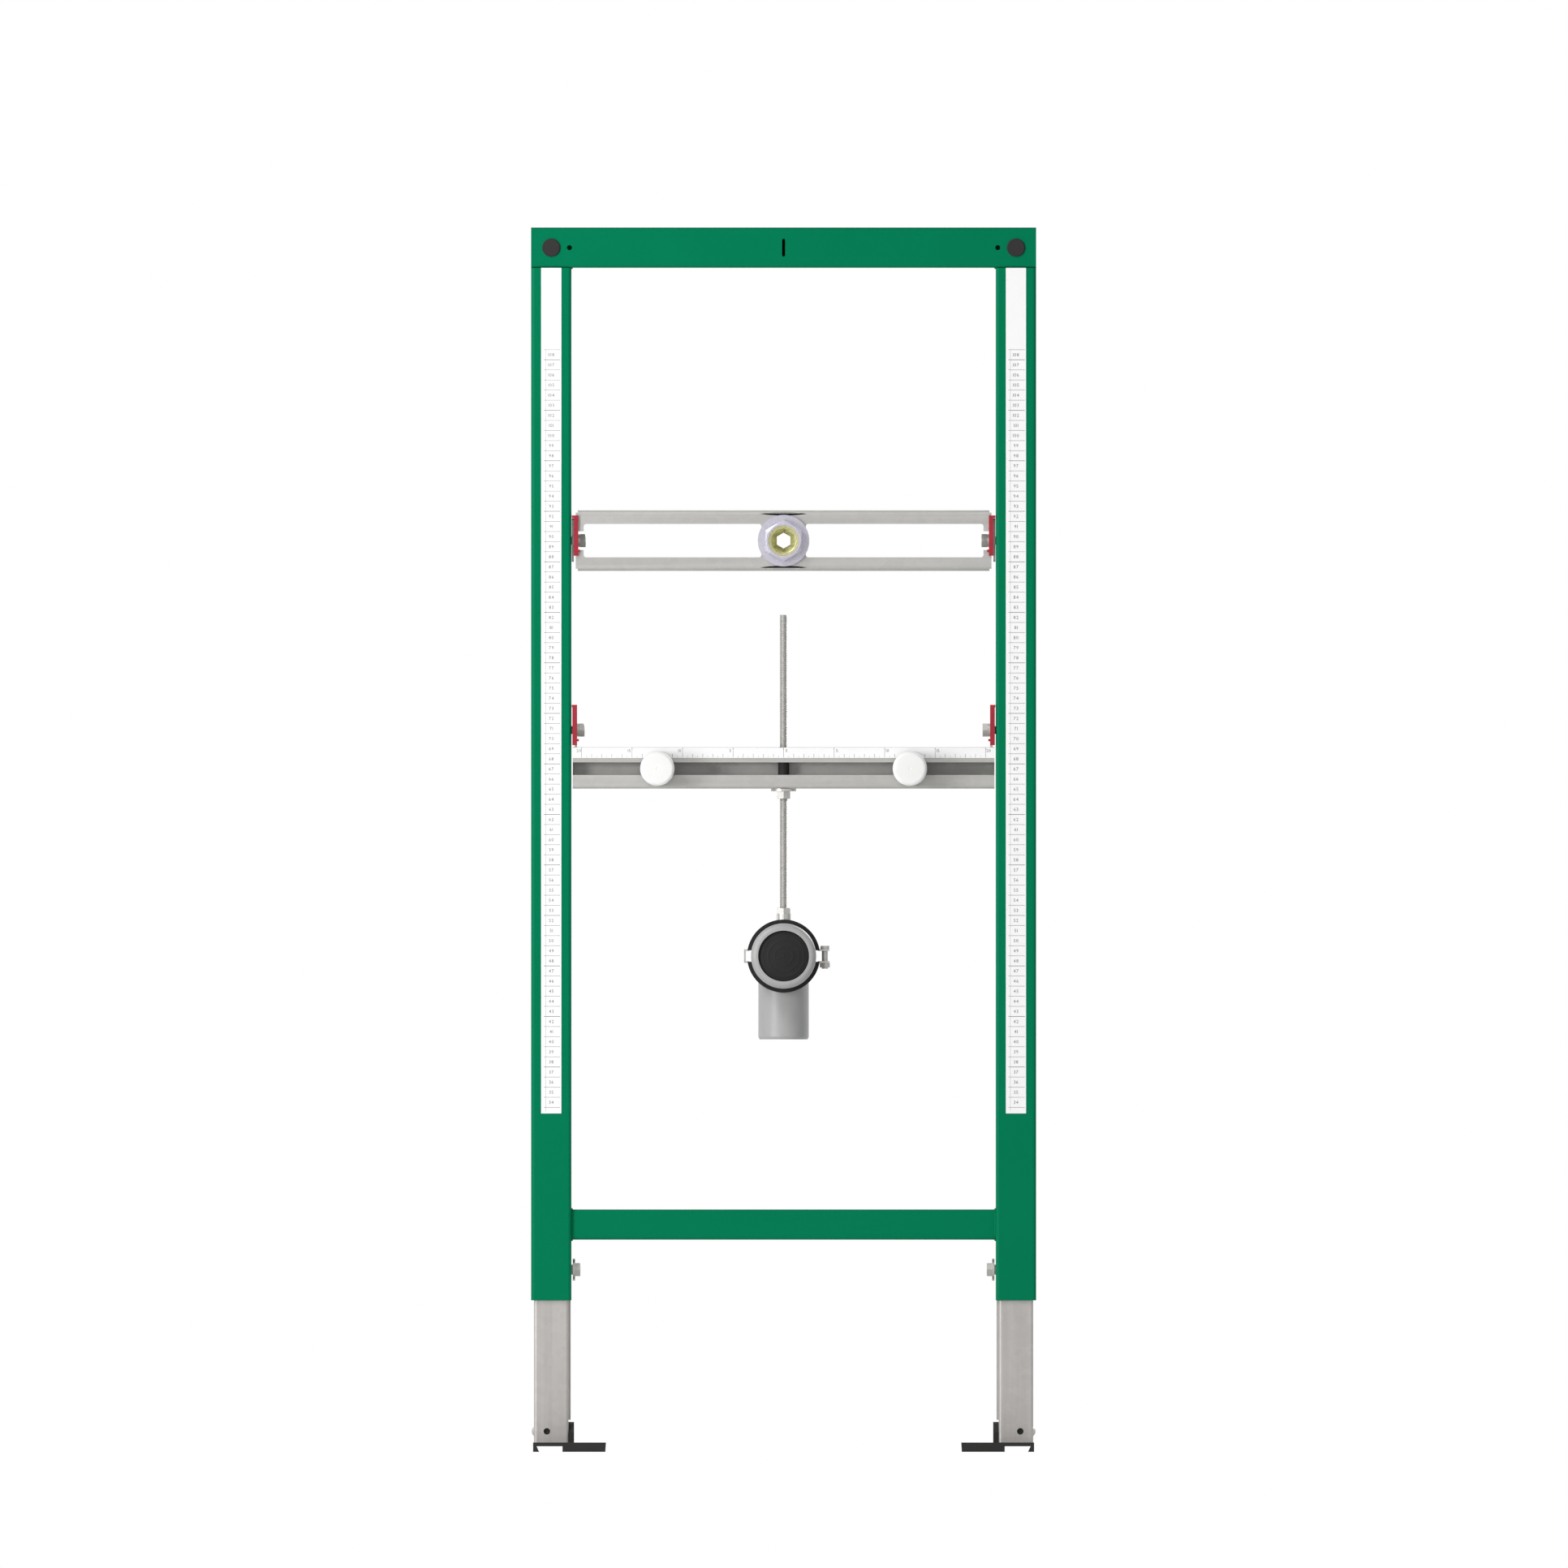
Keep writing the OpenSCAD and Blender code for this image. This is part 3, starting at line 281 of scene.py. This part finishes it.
def make_piece(name, surfaces, material, body, stands_for=(), sharp=35):
    """Joins grids of points into one closed mesh, merges its doubles and points its faces outwards."""
    points = np.concatenate([grid.reshape(-1, 3) for grid, faces in surfaces])
    starts = np.cumsum([0] + [grid.size // 3 for grid, faces in surfaces[:-1]])
    faces = np.concatenate([faces + start for (grid, faces), start in zip(surfaces, starts)])
    mesh = bpy.data.meshes.new(name)
    mesh.from_pydata(points.tolist(), [], faces.tolist())
    work = bmesh.new()
    work.from_mesh(mesh)
    bmesh.ops.remove_doubles(work, verts=work.verts, dist=0.002 * MM)
    bmesh.ops.recalc_face_normals(work, faces=work.faces)
    work.to_mesh(mesh)
    work.free()
    mesh.shade_smooth()
    mesh.set_sharp_from_angle(angle=math.radians(sharp))
    mesh.materials.append(material)
    piece = bpy.data.objects.new(name, mesh)
    bpy.context.scene.collection.objects.link(piece)
    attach(piece, body)
    for node in stands_for:
        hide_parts(node)
    return piece


def around(columns):
    """Equal steps of angle round a full turn."""
    return np.arange(columns) * 2 * math.pi / columns


def turned(profile, centre, axis, columns=96):
    """A profile of (radius, height) carried round an axis through centre.
    Each point is centre + radius times the direction at its angle + height along the axis."""
    radius = np.array(profile)[:, :1]
    height = np.array(profile)[:, 1:2] + np.zeros((1, columns))
    angle = around(columns)[None, :]
    across, up = radius * np.cos(angle), radius * np.sin(angle)
    order = {"+Y": (across, height, up), "-Y": (across, -height, up), "+Z": (across, up, height)}
    grid = np.stack(order[axis], axis=-1) * MM + np.array(centre)
    return grid, grid_faces(len(profile), columns, round_rows=True)


def arc(middle_r, middle_h, radius, start, end, steps=8):
    """Points of a rounded edge in a profile: the circle about its middle between two angles in degrees."""
    angle = np.radians(np.linspace(start, end, steps))
    return [(middle_r + radius * math.cos(a), middle_h + radius * math.sin(a)) for a in angle]


def hexagon_radius(angle, flats):
    """Distance from the centre of a hexagon to its side at each angle, one flat facing angle 0."""
    sixth = math.pi / 3
    from_flat = (angle + sixth / 2) % sixth - sixth / 2
    return flats / 2 / np.cos(from_flat)


def thread_share(turns):
    """Depth share of a thread: a triangle wave of the turns, cut flat at its crest and its root."""
    wave = 1 - np.abs(2 * (turns % 1) - 1)
    return np.clip(1.3 * wave - 0.15, 0, 1)


def threaded_bar(centre, length, major, pitch, depth, columns=24, rows_a_turn=6):
    """A threaded bar along Z from centre: the radius is major less depth times the thread's share,
    which follows height over pitch less angle over a turn; both ends are bevelled and closed."""
    rows = int(length / pitch * rows_a_turn) + 1
    height = np.linspace(0, length, rows)[:, None]
    angle = around(columns)[None, :]
    radius = major - depth * thread_share(height / pitch - angle / (2 * math.pi))
    radius = np.minimum(radius, major - depth + np.minimum(height, length - height) * 0.8)
    bar = np.stack([radius * np.cos(angle), radius * np.sin(angle), height + 0 * radius], axis=-1)
    flat_end = np.zeros((1, columns, 3))
    top_end = flat_end + np.array([0, 0, length])
    grid = np.concatenate([flat_end, bar, top_end]) * MM + np.array(centre)
    return grid, grid_faces(rows + 2, columns)


def middle_of(node):
    low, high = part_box(node)
    return (low + high) / 2


# Threaded rod of the pipe clamp

rod_low, rod_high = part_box("threaded_rod")
rod_length = (rod_high.z - rod_low.z) / MM
rod_foot = (middle_of("threaded_rod").x, middle_of("threaded_rod").y, rod_low.z)
make_piece(
    "rod_with_thread", [threaded_bar(rod_foot, rod_length, 4.0, 1.25, 0.7)],
    finishes["zinc_bolts"], "waste_unit", ["threaded_rod"], sharp=60)


# Brass inlet body

def inlet_rings(columns=144):
    """The brass body as rings along Y: each ring's radius is a circle, a hexagon or a thread at its angle.
    The rings run over the outside from front to back and return through the bore, so the skin closes."""
    angle = around(columns)
    front = (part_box("inlet_body")[0].y) / MM
    back = (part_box("inlet_body")[1].y) / MM
    collar_front, collar_back = front + 16.5, front + 24.5
    floor, key = front + 13.8, 13.5
    bevel, core, root = 1.8, 12.05, 13.2
    supply, supply_root, pitch = 10.45, 9.35, 1.814
    hexagon = hexagon_radius(angle, 35.6)
    collar = np.minimum(hexagon, 19.6)
    rings = [(front + bevel * 0.02, core + bevel), (front, core + bevel + 0.3), (front, 14.6), (front + 0.4, 15.0),
             (collar_front, 15.0), (collar_front, np.minimum(hexagon, 17.4)), (collar_front + 1.2, collar),
             (collar_back - 1.2, collar), (collar_back, np.minimum(hexagon, 17.4)), (collar_back, supply_root),
             (collar_back + 1, supply_root)]
    turns = angle / (2 * math.pi)
    for y in np.linspace(collar_back + 1, back - 0.01, 96):
        share = thread_share((y - collar_back) / pitch - turns)
        edge = np.minimum((y - collar_back - 1) * 1.2, (back - y) * 1.0)
        rings.append((y, np.minimum(supply - (supply - supply_root) * share, supply_root + edge)))
    rings += [(back, supply_root), (back, hexagon_radius(angle, key)), (floor + 4, hexagon_radius(angle, key)),
              (floor, hexagon_radius(angle, 20.5)), (floor, core)]
    for y in np.linspace(floor - 0.01, front + bevel, 84):
        share = 1 - thread_share((y - front) / pitch + turns)
        edge = np.minimum((floor - y) * 1.5, (y - front - bevel) * 1.5 + 0.6)
        rings.append((y, core + np.minimum((root - core) * share, edge)))
    height = np.array([y for y, radius in rings])[:, None] + 0 * angle
    radius = np.stack([radius + 0 * angle for y, radius in rings])
    grid = np.stack([radius * np.cos(angle), height, radius * np.sin(angle)], axis=-1) * MM
    return grid + np.array([0, 0, inlet_z]), grid_faces(len(rings), columns, round_rows=True)


make_piece(
    "brass_inlet_body", [inlet_rings()], finishes["brass"], "upper_rail_unit", ["inlet_body"], sharp=28)


# Caps on the fixing studs

def cap_profile():
    """Half section of a cap: flat face with a gate mark, rounded rim, wall, open back and inner tube."""
    return [(0, 0.35), (1.0, 0.35), (1.4, 0.02), (13.4, 0)] + arc(13.4, 3.6, 3.6, 270, 360, 12) + [
        (17, 34.5), (16.8, 34.8), (17, 35.1), (17, 37.7), (16.7, 38), (15.0, 38), (14.8, 37.8), (14.8, 5.6),
        (7.8, 5.6), (7.8, 37.8), (7.6, 38), (6.2, 38), (6.0, 37.8), (6.0, 4), (0, 4)]


for side in ("left", "right"):
    cap_low, cap_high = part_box(side + "_stud_cap")
    cap_middle = (cap_low + cap_high) / 2
    make_piece(
        side + "_rounded_cap", [turned(cap_profile(), (cap_middle.x, cap_low.y, cap_middle.z), "+Y")],
        finishes["white_plastic"], side + "_stud_unit", [side + "_stud_cap"])


# Seal in the elbow's mouth

def seal_profile():
    """Half section of the seal: a domed face with low moulded rings, a clamped rim and a hollow back."""
    face = 25.16
    radius = np.linspace(0, face - 0.9, 60)
    dome = -2.2 * (1 - (radius / face) ** 2)
    rings = sum(0.28 * np.exp(-((radius - middle) / 0.55) ** 2) for middle in (9.2, 15.4, 20.6))
    gate = 0.35 * np.exp(-(radius / 1.2) ** 2)
    front = [(r, h) for r, h in zip(radius.tolist(), (dome - rings - gate).tolist())]
    return front + [(face - 0.3, 0.1), (face, 0.4), (face, 1.0), (29.64, 1.0), (29.64, 10.7), (23, 10.7), (23, 2.2),
                    (0, 2.2)]


seal_low, seal_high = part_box("elbow_seal")
seal_middle = (seal_low + seal_high) / 2
make_piece(
    "ringed_seal", [turned(seal_profile(), (seal_middle.x, seal_low.y + 2.2 * MM, seal_middle.z), "+Y")],
    finishes["black_rubber"], "waste_unit", ["elbow_seal"])


# Weld beads

def bead(start, end, radius):
    """A weld bead: a tube between two points whose radius swells and sinks with each ripple
    and closes at both ends."""
    start, end = np.array(start), np.array(end)
    along = end - start
    length = float(np.linalg.norm(along))
    steps = max(int(length / 0.5), 8)
    share = np.linspace(0, 1, steps)[:, None]
    ripple = 1 + 0.16 * np.abs(np.sin(share * length / 2.2 * math.pi))
    closing = np.sqrt(np.clip(np.minimum(share, 1 - share) * length / (1.5 * radius), 0, 1))
    size = radius * ripple * closing
    axis = along / length
    first = np.cross(axis, (0.3, 0.5, 0.81))
    first /= np.linalg.norm(first)
    second = np.cross(axis, first)
    angle = around(12)[None, :]
    ring = np.cos(angle)[..., None] * first + np.sin(angle)[..., None] * second
    grid = (start + share * along)[:, None, :] + size[..., None] * ring
    return grid * MM, grid_faces(steps, 12)


bar_low, bar_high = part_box("bottom_bar")
top_low, top_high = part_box("top_bar")
post_low, post_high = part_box("left_post")
bar_half = (bar_high.y - bar_low.y) / 2 / MM
joint_x = bar_high.x / MM
joint_z = ((bar_low.z + bar_high.z) / 2) / MM
corner_z = post_high.z / MM
post_half = post_high.y / MM
beads = []
for mirror in (-1, 1):
    x = mirror * (joint_x - 0.3)
    for y in (-bar_half - 0.2, bar_half + 0.2):
        beads.append(bead((x, y, joint_z - 12.5), (x, y, joint_z + 12.5), 1.1))
    for z in (joint_z - bar_half - 0.2, joint_z + bar_half + 0.2):
        beads.append(bead((x, -13, z), (x, -8.6, z), 1.1))
        beads.append(bead((x, 8.6, z), (x, 13, z), 1.1))
    inner = mirror * (joint_x - 0.3)
    beads.append(bead((inner, -post_half + 4, corner_z), (inner, -8.6, corner_z), 1.1))
    beads.append(bead((inner, 8.6, corner_z), (inner, post_half - 4, corner_z), 1.1))
    back = post_half + 0.2
    beads.append(bead((mirror * (joint_x + 5), back, corner_z), (mirror * (joint_x + 35), back, corner_z), 1.1))
make_piece("painted_weld_beads", beads, finishes["green_paint"], "frame")


# Printed scales

def digit_shapes():
    """The ten figures of a plain built-in letter, one unit high, as flat points and faces."""
    shapes = {}
    for figure in "0123456789":
        curve = bpy.data.curves.new("figure", "FONT")
        curve.body = figure
        curve.fill_mode = "FRONT"
        curve.resolution_u = 2
        written = bpy.data.objects.new("figure", curve)
        bpy.context.scene.collection.objects.link(written)
        mesh = bpy.data.meshes.new_from_object(written)
        points = np.zeros(len(mesh.vertices) * 3)
        mesh.vertices.foreach_get("co", points)
        points = points.reshape(-1, 3)[:, :2]
        faces = [list(face.vertices) for face in mesh.polygons]
        low, high = points.min(0), points.max(0)
        height = high[1] - low[1]
        shapes[figure] = ((points - low) / height, faces, float((high[0] - low[0]) / height))
        bpy.data.objects.remove(written)
        bpy.data.curves.remove(curve)
        bpy.data.meshes.remove(mesh)
    return shapes


figures = digit_shapes()


class Print:
    """Flat ink on a film that faces the front: bars and numbers gathered into one mesh."""

    def __init__(self, y):
        self.y = y
        self.points = []
        self.faces = []

    def add(self, flat, faces):
        start = len(self.points)
        self.points += [(x * MM, self.y, z * MM) for x, z in flat]
        self.faces += [[corner + start for corner in face] for face in faces]

    def bar(self, left, right, low, high):
        self.add([(left, low), (right, low), (right, high), (left, high)], [[0, 1, 2, 3]])

    def number(self, text, middle, z, height):
        gap = 0.22 * height
        widths = [figures[letter][2] * height for letter in text]
        x = middle - (sum(widths) + gap * (len(text) - 1)) / 2
        for letter, width in zip(text, widths):
            shape, faces, share = figures[letter]
            self.add((shape * height + np.array([x, z - height / 2])).tolist(), faces)
            x += width + gap

    def finish(self, name, body):
        mesh = bpy.data.meshes.new(name)
        mesh.from_pydata(self.points, [], self.faces)
        mesh.materials.append(ink)
        piece = bpy.data.objects.new(name, mesh)
        bpy.context.scene.collection.objects.link(piece)
        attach(piece, body)


def post_scale(side):
    """Centimetre lines up a post's film with the height in centimetres between them."""
    low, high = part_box(side + "_scale")
    left, right, bottom = low.x / MM, high.x / MM, low.z / MM
    middle = (left + right) / 2
    scale = Print(low.y - 0.03 * MM)
    first_line = 341
    for count in range(76):
        z = first_line + 10 * count
        thick = 0.5 if count % 5 == 4 else 0.34
        scale.bar(left + 2.6, right - 1.2, z - thick / 2, z + thick / 2)
        if count < 75:
            scale.number(str(34 + count), middle, z + 5, 3.2)
    scale.bar(left + 4.4, left + 4.6, bottom + 2, first_line + 750)
    scale.finish(side + "_scale_print", "frame")


def rail_scale():
    """Ticks out from the middle of the C-rail's film, numbered in centimetres."""
    low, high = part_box("lower_scale")
    bottom, top = low.z / MM, high.z / MM
    scale = Print(low.y - 0.03 * MM)
    for count in range(-20, 21):
        x = 10 * count
        long = count % 5 == 0
        scale.bar(x - 0.15, x + 0.15, bottom + 0.6, top - (0.4 if long else 6.2))
        if long:
            scale.bar(x - 0.25, x + 0.25, top - 1.6, top - 0.4)
            scale.number(str(abs(count)), x + (2.8 if count >= 0 else -2.8), top - 3.0, 2.9)
    for count in range(-40, 40):
        x = 5 * count
        scale.bar(x - 0.1, x + 0.1, bottom + 0.6, bottom + 2.2)
    scale.finish("rail_scale_print", "lower_rail_unit")


post_scale("left")
post_scale("right")
rail_scale()


# Floor, light and camera

floor_mesh = bpy.data.meshes.new("floor")
reach = 9.0
floor_mesh.from_pydata([(-reach, -reach, 0), (reach, -reach, 0), (reach, reach, 0), (-reach, reach, 0)],
                       [], [[0, 1, 2, 3]])
floor_mesh.materials.append(studio_floor())
floor_piece = bpy.data.objects.new("floor", floor_mesh)
bpy.context.scene.collection.objects.link(floor_piece)


def lamp(name, place, target, size, power):
    """A square soft lamp that faces a point on the object."""
    light = bpy.data.lights.new(name, "AREA")
    light.size = size
    light.energy = power
    holder = bpy.data.objects.new(name, light)
    holder.location = place
    holder.rotation_euler = look_angles(place, target)
    bpy.context.scene.collection.objects.link(holder)


def look_angles(place, target):
    """Turn about X and Z that points an object's -Z axis from place to target."""
    across, ahead, up = (t - p for t, p in zip(target, place))
    return (math.atan2(math.hypot(across, ahead), -up), 0, math.atan2(-across, ahead))


lamp("key lamp", (-1.9, -2.0, 3.0), (0, 0, 0.6), 1.2, 54)
lamp("low front lamp", (-2.5, -2.7, 0.9), (0, 0, 0.7), 1.0, 56)
lamp("back lamp", (1.8, 2.4, 2.2), (0, 0, 0.6), 1.6, 70)

world = bpy.data.worlds.new("white studio")
world.use_nodes = True
bpy.context.scene.world = world
sky = world.node_tree
background = sky.nodes["Background"]
background.inputs["Color"].default_value = (1, 1, 1, 1)
path = sky.nodes.new("ShaderNodeLightPath")
seen = sky.nodes.new("ShaderNodeMath")
seen.operation = "MAXIMUM"
sky.links.new(path.outputs["Is Camera Ray"], seen.inputs[0])
sky.links.new(path.outputs["Is Glossy Ray"], seen.inputs[1])
clear = sky.nodes.new("ShaderNodeMath")
clear.operation = "MAXIMUM"
sky.links.new(seen.outputs[0], clear.inputs[0])
sky.links.new(path.outputs["Is Transmission Ray"], clear.inputs[1])
strength = sky.nodes.new("ShaderNodeMapRange")
strength.inputs["To Min"].default_value = 0.36
strength.inputs["To Max"].default_value = 1.0
sky.links.new(clear.outputs[0], strength.inputs["Value"])
sky.links.new(strength.outputs[0], background.inputs["Strength"])

lens = bpy.data.cameras.new("front camera")
lens.type = "ORTHO"
lens.ortho_scale = 1.5521
camera = bpy.data.objects.new("front camera", lens)
camera.location = (0.0004, -3.0, 0.6611)
camera.rotation_euler = (math.pi / 2, 0, 0)
bpy.context.scene.collection.objects.link(camera)
bpy.context.scene.camera = camera
bpy.context.scene.view_settings.view_transform = "Standard"
